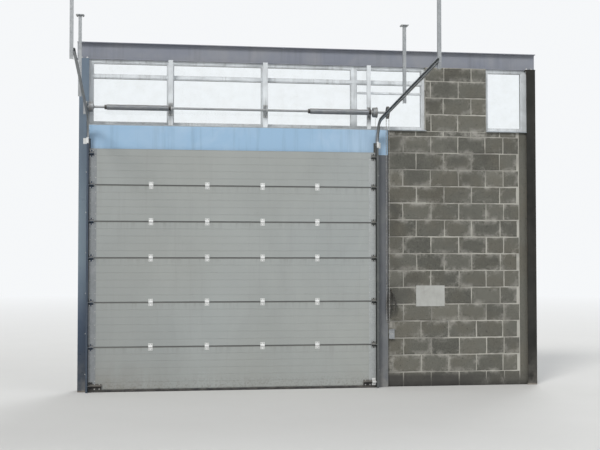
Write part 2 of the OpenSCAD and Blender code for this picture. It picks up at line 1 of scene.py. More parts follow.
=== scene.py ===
# Dresses the factory wall bay: masonry, springs, chain, fasteners, glazing beads and materials
import json
import math
import random
from itertools import product

import bpy
import numpy as np
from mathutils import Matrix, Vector

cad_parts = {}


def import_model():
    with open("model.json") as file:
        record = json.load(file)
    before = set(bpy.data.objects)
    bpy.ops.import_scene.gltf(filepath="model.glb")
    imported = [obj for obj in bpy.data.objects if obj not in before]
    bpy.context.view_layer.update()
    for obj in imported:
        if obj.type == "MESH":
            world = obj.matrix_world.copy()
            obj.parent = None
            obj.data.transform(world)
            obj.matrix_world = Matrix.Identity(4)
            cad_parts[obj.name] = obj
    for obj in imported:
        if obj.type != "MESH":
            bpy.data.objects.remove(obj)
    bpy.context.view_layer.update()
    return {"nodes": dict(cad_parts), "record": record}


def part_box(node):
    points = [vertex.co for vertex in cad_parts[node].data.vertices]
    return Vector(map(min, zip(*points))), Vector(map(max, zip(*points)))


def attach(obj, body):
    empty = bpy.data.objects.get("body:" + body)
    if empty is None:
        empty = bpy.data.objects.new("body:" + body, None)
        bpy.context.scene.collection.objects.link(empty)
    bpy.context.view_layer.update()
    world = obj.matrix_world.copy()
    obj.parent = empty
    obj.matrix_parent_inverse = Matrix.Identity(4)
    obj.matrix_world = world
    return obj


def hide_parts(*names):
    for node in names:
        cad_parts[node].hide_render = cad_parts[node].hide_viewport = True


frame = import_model()
nodes = frame["nodes"]
rng = random.Random(7)


def lo_hi(node):
    """The lowest and the highest corner of a node's box."""
    low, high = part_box(node)
    return np.array(low), np.array(high)


def solid_boxes(node):
    """Boxes of a node's separate solids, sorted from left to right."""
    mesh = nodes[node].data
    parent = {}

    def find(key):
        while parent.setdefault(key, key) != key:
            key = parent[key]
        return key

    keys = [tuple(round(c, 5) for c in v.co) for v in mesh.vertices]
    for e in mesh.edges:
        a, b = find(keys[e.vertices[0]]), find(keys[e.vertices[1]])
        parent[a] = b
    groups = {}
    for key in set(keys):
        groups.setdefault(find(key), []).append(key)
    boxes = [(np.array(g).min(0), np.array(g).max(0)) for g in groups.values()]
    return sorted(boxes, key=lambda box: tuple(box[0]))


# Mesh building. Points are in metres, in the frame of the CAD.

class Shape:
    """Collects the vertices and faces of one piece."""

    def __init__(self):
        self.verts, self.faces, self.tones, self.rims, self.mats = [], [], [], [], []

    def add(self, verts, faces, tone=0.5, rim=None, mat=0):
        """Adds faces with one tone and material. rim tells how near each vertex is to an edge."""
        base = len(self.verts)
        self.verts.extend([tuple(v) for v in verts])
        self.faces.extend([tuple(base + i for i in f) for f in faces])
        self.tones.extend([tone] * len(verts))
        self.rims.extend(list(rim) if rim is not None else [0.0] * len(verts))
        self.mats.extend([mat] * len(faces))

    def make(self, name, materials, replaces=(), smooth=30):
        """Makes the object. Edges that turn more than smooth degrees stay sharp."""
        mesh = bpy.data.meshes.new(name)
        mesh.from_pydata(self.verts, [], self.faces)
        for label, values in (("tone", self.tones), ("rim", self.rims)):
            layer = mesh.attributes.new(label, "FLOAT", "POINT")
            layer.data.foreach_set("value", np.array(values, np.float32))
        for m in materials if isinstance(materials, list) else [materials]:
            mesh.materials.append(m)
        mesh.polygons.foreach_set("material_index", np.array(self.mats, np.int32))
        mesh.update()
        mesh.polygons.foreach_set("use_smooth", [True] * len(mesh.polygons))
        mesh.set_sharp_from_angle(angle=math.radians(smooth))
        obj = bpy.data.objects.new(name, mesh)
        bpy.context.scene.collection.objects.link(obj)
        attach(obj, "root")
        if replaces:
            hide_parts(*replaces)


def ring_faces(a, b, n):
    """Faces between two rings of n vertices, which start at a and at b."""
    return [(a + i, a + (i + 1) % n, b + (i + 1) % n, b + i) for i in range(n)]


def basis(axis):
    """Three unit vectors, the last along the axis."""
    w = np.array(axis, float)
    w /= np.linalg.norm(w)
    u = np.array((0, 0, 1.0)) if abs(w[2]) <= 0.95 else np.array((1.0, 0, 0))
    u -= (u @ w) * w
    u /= np.linalg.norm(u)
    return np.cross(u, w), u, w


def lathe(shape, profile, centre, axis, count, turn=0.0):
    """Turns a closed profile of (radius, height) round the axis. It starts and ends on the axis."""
    a, b, w = basis(axis)
    c = np.array(centre, float)
    verts, rings = [], []
    for r, h in profile:
        if r < 1e-9:
            rings.append((len(verts), 1))
            verts.append(c + h * w)
        else:
            rings.append((len(verts), count))
            for i in range(count):
                t = 2 * math.pi * i / count + turn
                verts.append(c + h * w + r * (math.cos(t) * a + math.sin(t) * b))
    faces = []
    for (p, n), (q, m) in zip(rings, rings[1:]):
        for i in range(count):
            j = (i + 1) % count
            if n == 1:
                faces.append((p, q + j, q + i))
            elif m == 1:
                faces.append((p + i, p + j, q))
            else:
                faces.append((p + i, p + j, q + j, q + i))
    shape.add(verts, faces)


def tube(shape, points, radius, sides, closed=False):
    """A round bar along a path, capped unless the path closes."""
    p = np.array(points, float)
    n = len(p)
    tangent = np.roll(p, -1, 0) - np.roll(p, 1, 0) if closed else np.gradient(p, axis=0)
    tangent /= np.linalg.norm(tangent, axis=1)[:, None]
    normal = np.array((0, 0, 1.0)) if abs(tangent[0][2]) < 0.9 else np.array((1.0, 0, 0))
    verts = []
    for at, t in zip(p, tangent):
        normal = normal - (normal @ t) * t
        normal /= np.linalg.norm(normal)
        side = np.cross(t, normal)
        for k in range(sides):
            a = 2 * math.pi * k / sides
            verts.append(at + radius * (math.cos(a) * normal + math.sin(a) * side))
    faces = []
    for i in range(n if closed else n - 1):
        faces += ring_faces(i * sides, (i + 1) % n * sides, sides)
    if not closed:
        faces += [tuple(reversed(range(sides))), tuple(range((n - 1) * sides, n * sides))]
    shape.add(verts, faces)


def plate(shape, low, high, chamfer):
    """A box with its twelve edges chamfered. Each corner has one vertex in each of its faces."""
    low, high = np.array(low, float), np.array(high, float)
    c = min(chamfer, 0.45 * float((high - low).min()))
    corners = list(product((0, 1), repeat=3))
    verts, index = [], {}
    for corner in corners:
        for axis in range(3):
            q = np.where(corner, high - c, low + c)
            q[axis] = (low, high)[corner[axis]][axis]
            index[(*corner, axis)] = len(verts)
            verts.append(q)

    def at(axis, s, u, v, face_axis):
        corner = [u, v]
        corner.insert(axis, s)
        return index[(*corner, face_axis)]

    faces = [[index[(*corner, axis)] for axis in range(3)] for corner in corners]
    for axis in range(3):
        a, b = [k for k in range(3) if k != axis]
        for s in (0, 1):
            faces.append([at(axis, s, u, v, axis) for u, v in ((0, 0), (1, 0), (1, 1), (0, 1))])
        for u, v in product((0, 1), repeat=2):
            faces.append([at(axis, s, u, v, k) for s, k in ((0, a), (1, a), (1, b), (0, b))])
    shape.add(verts, [f if outward(verts, f, low, high) else f[::-1] for f in faces])


def outward(verts, face, low, high):
    """Whether a face of the box from low to high looks outwards."""
    p = [verts[i] for i in face]
    normal = np.cross(p[1] - p[0], p[2] - p[0])
    return normal @ (sum(p) / len(p) - (low + high) / 2) > 0


# Bolts: width across the flats, height of the head, radius of the washer
M5 = (0.008, 0.005, 0.0075)
M6 = (0.01, 0.006, 0.009)
M8 = (0.013, 0.008, 0.011)
M8_LOW = (0.013, 0.007, 0.011)
M16 = (0.024, 0.013, 0.016)
M20 = (0.03, 0.016, 0.019)
SET_SCREW = (0.009, 0.006, 0)
BEARING_SCREW = (0.006, 0.004, 0)
STRAP_BOLT = (0.01, 0.006, 0.008)
BRACKET_BOLT = (0.013, 0.007, 0.01)


def hex_bolt(shape, at, axis, across, height, washer, stud=0.0):
    """A chamfered hexagon on a washer, with a stud that stands through it."""
    turn = rng.uniform(0, math.pi / 3)
    if washer:
        lathe(shape, [(0, 0), (washer, 0), (washer, 0.0018), (washer * 0.93, 0.0024), (0, 0.0024)],
              at, axis, 20)
    r = across / math.sqrt(3)
    base = 0.002 if washer else 0.0
    top = base + height
    lathe(shape, [(0, base), (r, base), (r, base + height * 0.8), (r * 0.86, top), (0, top)],
          at, axis, 6, turn)
    if stud:
        start, tip = base + height * 0.9, top + stud
        lathe(shape, [(0, start), (across * 0.3, start), (across * 0.3, tip - 0.001),
                      (across * 0.24, tip), (0, tip)], at, axis, 12)


def dome_head(shape, at, axis, radius):
    """A flat dome such as a rivet or a self-drilling screw with its collar."""
    outline = ((0, 0), (1.25, 0), (1.25, 0.14), (1, 0.2), (0.88, 0.48), (0.5, 0.66), (0, 0.72))
    lathe(shape, [(radius * a, radius * b) for a, b in outline], at, axis, 12)


def sheet(shape, path, thick, start, end, place):
    """A folded sheet: a path of (u, v), thickened to its left and drawn out from start to end.

    place turns (u, v, w) into a point, with w along the fold."""
    p = np.array(path, float)
    step = np.diff(p, axis=0)
    step /= np.linalg.norm(step, axis=1)[:, None]
    normal = np.stack([-step[:, 1], step[:, 0]], 1)
    shift = [normal[0]]
    for a, b in zip(normal, normal[1:]):
        mid = a + b
        shift.append(mid / max(0.3, (mid @ mid) / 2))
    shift.append(normal[-1])
    outline = list(p) + list((p + thick * np.array(shift))[::-1])
    count = len(outline)
    verts = [place(u, v, w) for w in (start, end) for u, v in outline]
    faces = ring_faces(0, count, count)
    for i in range(len(p) - 1):
        quad = (i, i + 1, count - 2 - i, count - 1 - i)
        faces += [quad[::-1], tuple(count + q for q in quad)]
    corners = np.array(verts)
    volume = sum(np.dot(corners[f[0]], np.cross(corners[f[i]], corners[f[i + 1]]))
                 for f in faces for i in range(1, len(f) - 1))
    shape.add(verts, faces if volume > 0 else [f[::-1] for f in faces])


# Smooth noise on a lattice, for surfaces and edges

def lattice_noise(points, scale, seed):
    """Noise from -1 to 1 that runs smoothly between hashed values at whole coordinates."""
    q = np.asarray(points, float) * scale
    cell = np.floor(q).astype(np.int64)
    part = q - cell
    part = part * part * (3 - 2 * part)
    total = np.zeros(len(q))
    for corner in product((0, 1), repeat=3):
        x, y, z = (cell + corner).T
        h = x * 73856093 ^ y * 19349663 ^ z * 83492791 ^ seed * 2654435761
        h = (h ^ (h >> 13)) * 1274126177
        value = ((h ^ (h >> 16)) & 0xFFFF) / 65535.0
        total += value * np.prod(np.where(corner, part, 1 - part), axis=1)
    return total * 2 - 1


def rough(points, scale, seed):
    """Three octaves of the noise."""
    return sum(0.5 ** k * lattice_noise(points, scale * 2 ** k, seed + k) for k in range(3))


# Places taken from the frame

(leaf_x0, cap_y, _), (cap_inner_x, _, _) = lo_hi("end_caps_left")
cap_w = cap_inner_x - leaf_x0
leaf_x1 = lo_hi("end_caps_right")[1][0]
leaf_in_y = lo_hi("door_section_1")[0][1]
joints = [lo_hi("door_section_%d" % k)[0][2] for k in range(2, 7)]
leaf_top = lo_hi("door_section_6")[1][2]
wall_low, wall_high = lo_hi("block_wall")
pier_low, pier_high = lo_hi("block_pier")
shaft_low, shaft_high = lo_hi("shaft")
_, shaft_y, shaft_z = (shaft_low + shaft_high) / 2
shaft_r = (shaft_high[2] - shaft_low[2]) / 2
column_half = lo_hi("column_left")[1][0]
bay_w = lo_hi("column_right")[1][0] - column_half
head_z = lo_hi("window_frames")[1][2]
face_y = lo_hi("column_left")[0][1]

# Materials

class Mat:
    """A Principled material with short helpers for its nodes."""

    def __init__(self, name, colour, roughness=0.5, metallic=0.0):
        self.m = bpy.data.materials.new(name)
        self.m.use_nodes = True
        self.nt = self.m.node_tree
        self.b = self.nt.nodes["Principled BSDF"]
        self.b.inputs["Base Color"].default_value = (*colour, 1)
        self.b.inputs["Roughness"].default_value = roughness
        self.b.inputs["Metallic"].default_value = metallic
        self.c = self.node("TexCoord", {})["Object"]
        self.true_normal = self.node("NewGeometry", {})["Normal"]

    def put(self, value, socket):
        """Links a socket, or sets it to a number, vector or colour."""
        if isinstance(value, bpy.types.NodeSocket):
            self.nt.links.new(value, socket)
        elif isinstance(value, tuple) and len(value) < len(socket.default_value):
            socket.default_value = (*value, 1)
        else:
            socket.default_value = value

    def node(self, kind, inputs, **settings):
        """The outputs of a new node, once its settings and inputs are given."""
        n = self.nt.nodes.new("ShaderNode" + kind)
        for key, value in settings.items():
            setattr(n, key, value)
        for key, value in inputs.items():
            self.put(value, n.inputs[key])
        return n.outputs

    def stretch(self, x, y, z):
        return self.node("Mapping", {"Vector": self.c, "Scale": (x, y, z)})["Vector"]

    def noise(self, scale, detail=3.0, rough=0.55, vec=None, warp=0.0):
        return self.node("TexNoise", {"Vector": vec or self.c, "Scale": scale, "Detail": detail,
                                      "Roughness": rough, "Distortion": warp})["Fac"]

    def cells(self, scale, feature="F1", out="Color", vec=None):
        inputs = {"Vector": vec or self.c, "Scale": scale}
        return self.node("TexVoronoi", inputs, feature=feature)[out]

    def remap(self, value, a, b, c=0.0, d=1.0):
        """Maps the range from a to b onto c to d, and holds its ends."""
        inputs = {"Value": value, "From Min": a, "From Max": b, "To Min": c, "To Max": d}
        return self.node("MapRange", inputs, clamp=True)["Result"]

    def mix(self, fac, a, b):
        return self.node("Mix", {0: fac, 6: a, 7: b}, data_type="RGBA")[2]

    def coats(self, colour, *layers):
        """A colour under layers of (mask, colour), from the lowest up."""
        for mask, tint in layers:
            colour = self.mix(mask, colour, tint)
        return colour

    def math(self, op, a, b=0.0):
        return self.node("Math", {0: a, 1: b}, operation=op)[0]

    def mul(self, a, b):
        return self.math("MULTIPLY", a, b)

    def add(self, a, b):
        return self.math("ADD", a, b)

    def top(self, a, b):
        return self.math("MAXIMUM", a, b)

    def axis(self, k, vec=None):
        return self.node("SeparateXYZ", {0: vec or self.c})[k]

    def up(self):
        return self.axis(2, self.true_normal)

    def attr(self, label):
        return self.node("Attribute", {}, attribute_name=label)["Fac"]

    def bump(self, height, distance, strength, normal=None):
        inputs = {"Height": height, "Distance": distance, "Strength": strength}
        if normal is not None:
            inputs["Normal"] = normal
        return self.node("Bump", inputs)["Normal"]

    def edges(self, radius):
        """1 along edges, where a bevelled normal turns away from the true one."""
        bevelled = self.node("Bevel", {"Radius": radius}, samples=4)["Normal"]
        same = self.node("VectorMath", {0: bevelled, 1: self.true_normal}, operation="DOT_PRODUCT")
        return self.remap(self.math("SUBTRACT", 1.0, same["Value"]), 0.002, 0.06)

    def done(self, colour, roughness, normal=None, metallic=None, **extra):
        """The material, with its main inputs linked or set."""
        given = {"Base Color": colour, "Roughness": roughness, "Metallic": metallic, "Normal": normal}
        for key, value in (given | extra).items():
            if value is not None:
                self.put(value, self.b.inputs[key])
        return self.m


RUST_DARK = (0.06, 0.022, 0.01)
RUST_LIGHT = (0.2, 0.075, 0.028)
DUST = (0.3, 0.285, 0.255)
DULL = {"Specular IOR Level": 0.25}


def shade(colour, factor):
    return tuple(min(1, factor * c) for c in colour)


def painted(name, paint, faded, gloss, rust_amount, dust_amount, seed_scale=1.0, tone=None, **extra):
    """Old gloss paint on steel: faded patches, runs of dirt, chips with rust, dust near the floor."""
    m = Mat(name, paint)
    patch = m.remap(m.noise(1.7 * seed_scale, 5, 0.6, warp=0.6), 0.42, 0.66)
    runs = m.remap(m.noise(9, 4, 0.6, m.stretch(1, 1, 0.06)), 0.52, 0.74)
    colour = m.coats(paint, (m.mul(patch, 0.7), faded), (m.mul(runs, 0.35), shade(paint, 0.45)))
    # A tone function can paint light into the paint, such as the column's painted sheen.
    if tone:
        colour = tone(m, colour)
    worn = m.mul(m.edges(0.006), m.remap(m.noise(22, 4, 0.7), 0.5, 0.62))
    spots = m.remap(m.noise(34, 6, 0.72, warp=0.4), 0.7 - 0.06 * rust_amount, 0.74 - 0.05 * rust_amount)
    low = m.remap(m.axis(2), 0, 0.55, 1, 0)
    bare = m.top(m.mul(worn, 0.9), m.mul(spots, m.add(0.35, m.mul(low, 0.65))))
    rust = m.mix(m.noise(60, 4, 0.7), RUST_DARK, RUST_LIGHT)
    film = m.top(m.remap(m.up(), 0.3, 0.9, 0, 0.8), m.mul(low, m.remap(m.noise(6, 5, 0.65), 0.35, 0.7)))
    dust = m.mul(film, dust_amount)
    colour = m.coats(colour, (m.mul(bare, rust_amount), rust), (dust, DUST))
    sheen = m.remap(m.noise(5, 4, 0.6), 0.35, 0.7, gloss, gloss + 0.22)
    roughness = m.top(sheen, m.mul(m.top(bare, dust), 0.85))
    peel = m.bump(m.noise(420, 2, 0.5), 0.0004, 0.35)
    return m.done(colour, roughness, m.bump(m.mul(bare, -1.0), 0.0006, 0.7, peel), **extra)


def column_sheen_tone(m, colour):
    """Paint lightened at middle height by a painted sheen of window light, and darker near the floor.
    """
    z = m.axis(2)
    # pale is a painted sheen: the gloss paint's reflection of the windows, painted into the colour.
    pale = m.mul(m.remap(z, 1.05, 1.8), m.remap(z, 2.5, 3.2, 1, 0.55))
    return m.coats(colour, (m.mul(pale, 0.8), (0.18, 0.232, 0.275)),
                   (m.remap(z, 0.3, 1.45, 0.85, 0), (0.016, 0.027, 0.044)))


def galvanised_steel(name, tint, dull, spangle=70, rust_amount=0.15, metal=0.9,
                     bloom=(0.4, 0.41, 0.41), left_tint=None):
    """Zinc with its spangle, white bloom and a little red rust. left_tint covers the left side."""
    m = Mat(name, tint, dull, metal)
    tone = m.axis(0, m.cells(spangle))
    flow = m.noise(7, 5, 0.6, warp=0.4)
    colour = m.coats(shade(tint, 0.78), (m.mul(tone, 0.55), shade(tint, 1.12)),
                     (m.remap(flow, 0.5, 0.75, 0, 0.6), bloom))
    if left_tint:
        colour = m.mix(m.remap(m.axis(0), 1.0, 2.0, 0.85, 0), colour, left_tint)
    spots = m.mul(m.remap(m.noise(26, 6, 0.75), 0.63, 0.7), rust_amount)
    film = m.mul(m.remap(m.up(), 0.3, 0.9), 0.55)
    colour = m.coats(colour, (spots, RUST_LIGHT), (film, DUST))
    roughness = m.top(m.add(dull - 0.06, m.mul(tone, 0.16)), m.mul(m.top(film, spots), 0.8))
    cover = m.top(film, m.top(spots, m.remap(flow, 0.5, 0.75, 0, 0.35)))
    normal = m.bump(m.add(m.mul(tone, 0.4), m.noise(300, 2)), 0.0003, 0.35)
    return m.done(colour, roughness, normal, m.remap(cover, 0, 0.6, metal, 0.15))


def door_coating():
    """Embossed light grey coating, with dirt that rises from the floor and runs below the joints, and a
    painted shadow line along each joint.
    """
    m = Mat("door_panel", (0.3, 0.32, 0.315))
    z = m.axis(2)
    wash = m.noise(1.3, 5, 0.6, m.stretch(1, 1, 0.5), 0.5)
    yellowed = m.remap(m.noise(0.35, 2, 0.5), 0.4, 0.62)
    runs = m.remap(m.noise(14, 5, 0.62, m.stretch(1, 1, 0.05)), 0.56, 0.76)
    colour = m.coats((0.322, 0.343, 0.338), (m.remap(wash, 0.35, 0.68), (0.28, 0.3, 0.296)),
                     (m.mul(yellowed, 0.5), (0.302, 0.31, 0.288)),
                     (m.mul(runs, 0.16), (0.2, 0.2, 0.19)))
    for joint in joints:
        over = m.add(z, -joint)
        # A painted shadow line along the joint's groove.
        joint_shadow = m.remap(m.math("ABSOLUTE", over), 0.004, 0.016, 1, 0)
        below = m.mul(m.remap(over, -0.17, -0.012), m.remap(over, -0.012, 0, 1, 0))
        wet = m.remap(m.noise(19, 5, 0.65, m.stretch(1, 1, 0.12)), 0.46, 0.7)
        drip = m.mul(m.mul(below, below), wet)
        colour = m.coats(colour, (m.mul(joint_shadow, 0.8), (0.055, 0.056, 0.055)),
                         (m.mul(drip, 0.35), (0.15, 0.145, 0.13)))
    left = m.remap(m.axis(0), leaf_x0, leaf_x0 + 1.6, 1, 0)
    low = m.remap(z, 0.03, 0.75, 1, 0)
    dirt = m.mul(m.mul(low, low), m.remap(m.noise(4.5, 6, 0.66, m.stretch(1, 1, 0.6), 0.8), 0.32, 0.72))
    splash = m.mul(m.remap(z, 0.03, 0.22, 1, 0), m.remap(m.noise(38, 5, 0.7), 0.48, 0.62))
    scuff = m.mul(m.remap(m.noise(3, 4, 0.6), 0.58, 0.7),
                  m.remap(m.noise(60, 3, 0.6, m.stretch(0.12, 1, 1)), 0.62, 0.7))
    colour = m.coats(colour, (m.mul(left, m.remap(z, 0, 2.6, 0.42, 0.12)), (0.18, 0.185, 0.175)),
                     (m.mul(dirt, m.remap(left, 0, 1, 0.28, 0.8)), (0.185, 0.17, 0.145)),
                     (m.mul(splash, 0.5), (0.13, 0.12, 0.1)), (m.mul(scuff, 0.4), (0.22, 0.22, 0.21)),
                     (m.remap(m.up(), 0.25, 0.8, 0, 0.75), (0.17, 0.16, 0.14)))
    roughness = m.top(m.remap(m.noise(8, 4, 0.6), 0.3, 0.7, 0.38, 0.56), m.mul(dirt, 0.85))
    stucco = m.bump(m.cells(210, "SMOOTH_F1", "Distance", m.stretch(1, 1, 0.8)), 0.0008, 0.45)
    return m.done(colour, roughness, m.bump(m.noise(2.6, 2, 0.5), 0.004, 0.25, stucco))


def block_face():
    """Dark coarse aggregate, a tone for each block, mortar smears at the rims, a dark lowest course,
    and a painted shadow where the wall meets the floor.
    """
    m = Mat("block", (0.11, 0.11, 0.1))
    x, z = m.axis(0), m.axis(2)
    stone = m.noise(95, 6, 0.75)
    grit = m.cells(170, "F1", "Distance")
    warm = m.remap(m.noise(1.9, 3, 0.55), 0.45, 0.65)
    holes = m.remap(m.noise(46, 4, 0.7), 0.6, 0.68)
    smear = m.mul(m.remap(m.noise(5.5, 5, 0.7), 0.48, 0.64), m.remap(m.attr("rim"), 0.1, 0.85))
    stain = m.remap(m.noise(1.1, 4, 0.6, warp=0.8), 0.53, 0.7)
    low = m.mul(m.remap(z, 0.14, 0.225, 1, 0), m.remap(x, 5.3, 6.0, 1, 0.35))
    # foot is a painted shadow where the wall meets the floor.
    foot = m.remap(z, 0, 0.09, 1, 0)
    colour = m.coats((0.04, 0.041, 0.036), (m.remap(stone, 0.25, 0.75), (0.165, 0.163, 0.14)),
                     (m.remap(m.noise(24, 4, 0.6), 0.4, 0.7, 0, 0.55), (0.088, 0.087, 0.078)),
                     (m.mul(m.attr("tone"), 0.6), (0.205, 0.202, 0.175)),
                     (m.mul(warm, 0.35), (0.135, 0.12, 0.092)),
                     (m.remap(grit, 0, 0.35, 0.55, 0), (0.036, 0.036, 0.034)),
                     (m.mul(holes, 0.55), (0.022, 0.022, 0.021)),
                     (m.mul(smear, 0.8), (0.34, 0.33, 0.3)),
                     (m.mul(stain, 0.42), (0.05, 0.049, 0.045)),
                     (m.mul(low, m.remap(m.noise(3, 4, 0.6), 0.25, 0.6, 0.7, 0.95)),
                      (0.058, 0.056, 0.052)),
                     (m.mul(foot, 0.7), (0.028, 0.027, 0.025)))
    normal = m.bump(grit, 0.003, 0.6, m.bump(stone, 0.004, 0.9))
    return m.done(colour, 0.93, m.bump(m.mul(holes, -1.0), 0.004, 0.7, normal), **DULL)


def mortar_face():
    """Pale mortar, washed out in patches, dark near the floor, and darkened beside the door post as a
    painted shadow.
    """
    m = Mat("mortar", (0.33, 0.32, 0.29))
    x, z = m.axis(0), m.axis(2)
    fine = m.noise(240, 5, 0.7)
    patch = m.noise(1.7, 5, 0.65, warp=0.5)
    low = m.remap(z, 0.06, 0.2, 1, 0)
    right = m.mul(m.remap(x, 6.12, 6.19), m.remap(z, 1.5, 2.3, 1, 0.2))
    colour = m.coats((0.31, 0.3, 0.265), (fine, (0.5, 0.49, 0.445)),
                     (m.remap(patch, 0.44, 0.66, 0, 0.85), (0.17, 0.164, 0.148)),
                     (m.mul(low, 0.9), (0.06, 0.058, 0.053)),
                     # A painted shadow on the mortar beside the door post.
                     (m.remap(x, 4.3, 4.75, 0.55, 0), (0.1, 0.097, 0.09)),
                     (m.mul(m.mul(right, m.remap(low, 0, 0.5, 1, 0)), 0.4), (0.5, 0.49, 0.45)))
    normal = m.bump(m.add(fine, m.noise(60, 4, 0.6)), 0.003, 0.8)
    return m.done(colour, 0.95, normal, **{"Specular IOR Level": 0.2})


def glass_pane():
    """Clear glass with a film of dust that dulls it in streaks."""
    m = Mat("glass", (0.93, 0.97, 0.98), 0.06)
    dust = m.remap(m.noise(3.2, 6, 0.65, m.stretch(1, 1, 0.4), 0.4), 0.4, 0.75, 0.04, 0.3)
    haze = m.remap(m.noise(6, 5, 0.6), 0.4, 0.8, 0, 0.5)
    colour = m.mix(haze, (0.95, 0.98, 0.99), (0.84, 0.86, 0.85))
    return m.done(colour, dust, **{"Transmission Weight": 1.0, "IOR": 1.45})


def rubber_black():
    """Black rubber, greyed by dust near the floor."""
    m = Mat("rubber", (0.02, 0.02, 0.02))
    dust = m.mul(m.remap(m.noise(12, 5, 0.65), 0.4, 0.7), m.remap(m.axis(2), 0, 0.25, 0.75, 0.25))
    colour = m.mix(dust, (0.017, 0.017, 0.018), (0.115, 0.108, 0.095))
    return m.done(colour, m.remap(dust, 0, 1, 0.55, 0.9), m.bump(m.noise(160, 3), 0.0006, 0.5))


def oiled_steel(name, steel, oily, rust_amount):
    """Dark oiled steel with dust on top and a few spots of rust."""
    m = Mat(name, steel)
    oil = m.remap(m.noise(14, 5, 0.65), 0.42, 0.62)
    spots = m.mul(m.remap(m.noise(40, 6, 0.7), 0.6, 0.68), rust_amount)
    colour = m.coats(steel, (oil, oily), (spots, RUST_LIGHT), (m.remap(m.up(), 0.2, 0.9, 0, 0.6), DUST))
    return m.done(colour, m.remap(oil, 0, 1, 0.28, 0.6), m.bump(m.noise(220, 3), 0.0004, 0.5), 0.6)


def wire_steel():
    """Plated wire rope, dull in patches, with its strands as fine slanting bands."""
    m = Mat("steel_wire", (0.36, 0.36, 0.35), 0.4, 0.9)
    twist = m.node("TexWave", {"Vector": m.c, "Scale": 190}, wave_type="BANDS",
                   bands_direction="DIAGONAL")
    dull = m.noise(30, 5, 0.65)
    colour = m.mix(m.remap(dull, 0.4, 0.7), (0.4, 0.4, 0.39), (0.17, 0.15, 0.13))
    normal = m.bump(twist["Fac"], 0.0006, 0.6)
    return m.done(colour, m.remap(dull, 0.3, 0.7, 0.3, 0.6), normal, 0.85)


def white_board():
    """An off-white sheet with cloudy dirt and a few runs."""
    m = Mat("white_sheet", (0.42, 0.42, 0.4))
    cloud = m.noise(6, 5, 0.6, warp=0.5)
    runs = m.remap(m.noise(30, 4, 0.6, m.stretch(1, 1, 0.08)), 0.56, 0.7)
    colour = m.coats((0.395, 0.4, 0.38), (m.remap(cloud, 0.4, 0.7, 0, 0.7), (0.3, 0.3, 0.28)),
                     (m.mul(runs, 0.35), (0.22, 0.21, 0.19)))
    return m.done(colour, m.remap(cloud, 0.3, 0.7, 0.35, 0.55), m.bump(m.noise(3.5, 2), 0.003, 0.3))


def grey_aluminium(name, tint, dull):
    """Satin aluminium with a haze, runs of dirt and dust on top."""
    m = Mat(name, tint)
    haze = m.noise(3.5, 5, 0.6, warp=0.4)
    runs = m.remap(m.noise(20, 4, 0.6, m.stretch(1, 1, 0.07)), 0.54, 0.72)
    colour = m.coats(tint, (m.remap(haze, 0.38, 0.68), shade(tint, 0.72)),
                     (m.mul(runs, 0.35), (0.13, 0.12, 0.11)), (m.remap(m.up(), 0.2, 0.9, 0, 0.8), DUST))
    normal = m.bump(m.noise(350, 2), 0.0003, 0.3)
    return m.done(colour, m.remap(haze, 0.3, 0.7, dull, dull + 0.2), normal)


mats = {
    # The blue steel carries a painted sheen at middle height.
    "blue_steel": painted("blue_steel", (0.046, 0.074, 0.122), (0.13, 0.165, 0.21),
                          0.27, 0.8, 0.6, 1.0, column_sheen_tone),
    # The light blue steel is blue paint made lighter by painted glare from the windows.
    "light_blue_steel": painted("light_blue_steel", (0.285, 0.436, 0.6), (0.385, 0.515, 0.655),
                                0.34, 0.5, 0.7, 0.8),
    "dark_steel": painted("dark_steel", (0.016, 0.016, 0.014), (0.032, 0.031, 0.027),
                          0.62, 0.7, 0.4, 1.3, **DULL),
    "grey_steel": painted("grey_steel", (0.105, 0.113, 0.125), (0.165, 0.17, 0.172),
                          0.44, 0.7, 0.75, 0.9),
    "beam_steel": painted("beam_steel", (0.19, 0.205, 0.245), (0.255, 0.262, 0.28),
                          0.4, 0.5, 0.75, 0.9),
    "base_steel": painted("base_steel", (0.07, 0.062, 0.055), (0.12, 0.085, 0.06),
                          0.55, 1.6, 0.8, 2.0),
    "window_frame": grey_aluminium("window_frame", (0.68, 0.715, 0.74), 0.42),
    "sill": grey_aluminium("sill", (0.34, 0.38, 0.41), 0.45),
    "glass": glass_pane(),
    "door_panel": door_coating(),
    "rubber": rubber_black(),
    "bright_zinc": galvanised_steel("bright_zinc", (0.8, 0.81, 0.8), 0.34, 180, 0.12, 0.45),
    "galvanised": galvanised_steel("galvanised", (0.36, 0.375, 0.385), 0.44),
    # The tracks' zinc is galvanised darkened as painted shade, and tinted blue on its left side.
    "dull_zinc": galvanised_steel("dull_zinc", (0.118, 0.126, 0.124), 0.52, 60, 0.3, 0.7,
                                  (0.15, 0.156, 0.156), (0.05, 0.068, 0.098)),
    "spring_steel": oiled_steel("spring_steel", (0.225, 0.24, 0.26), (0.3, 0.31, 0.32), 0.25),
    "dark_hardware": oiled_steel("dark_hardware", (0.034, 0.034, 0.035), (0.07, 0.066, 0.06), 0.6),
    "steel_wire": wire_steel(),
    "white_sheet": white_board(),
    "block": block_face(),
}
mortar = mortar_face()
zinc = galvanised_steel("zinc_fastener", (0.55, 0.55, 0.53), 0.36, 240, 0.4)
dark_chain = oiled_steel("dark_chain", (0.05, 0.05, 0.048), (0.095, 0.09, 0.08), 0.5)
own_finish = {
    # The left end caps take a darker copy of the cap zinc: painted shade.
    "end_caps_left": galvanised_steel("cap_zinc_painted_shade", (0.25, 0.265, 0.275), 0.46, 95, 0.1, 0.5,
                                      (0.28, 0.29, 0.3)),
    "end_caps_right": galvanised_steel("cap_zinc", (0.405, 0.425, 0.425), 0.42, 95, 0.1, 0.5),
}

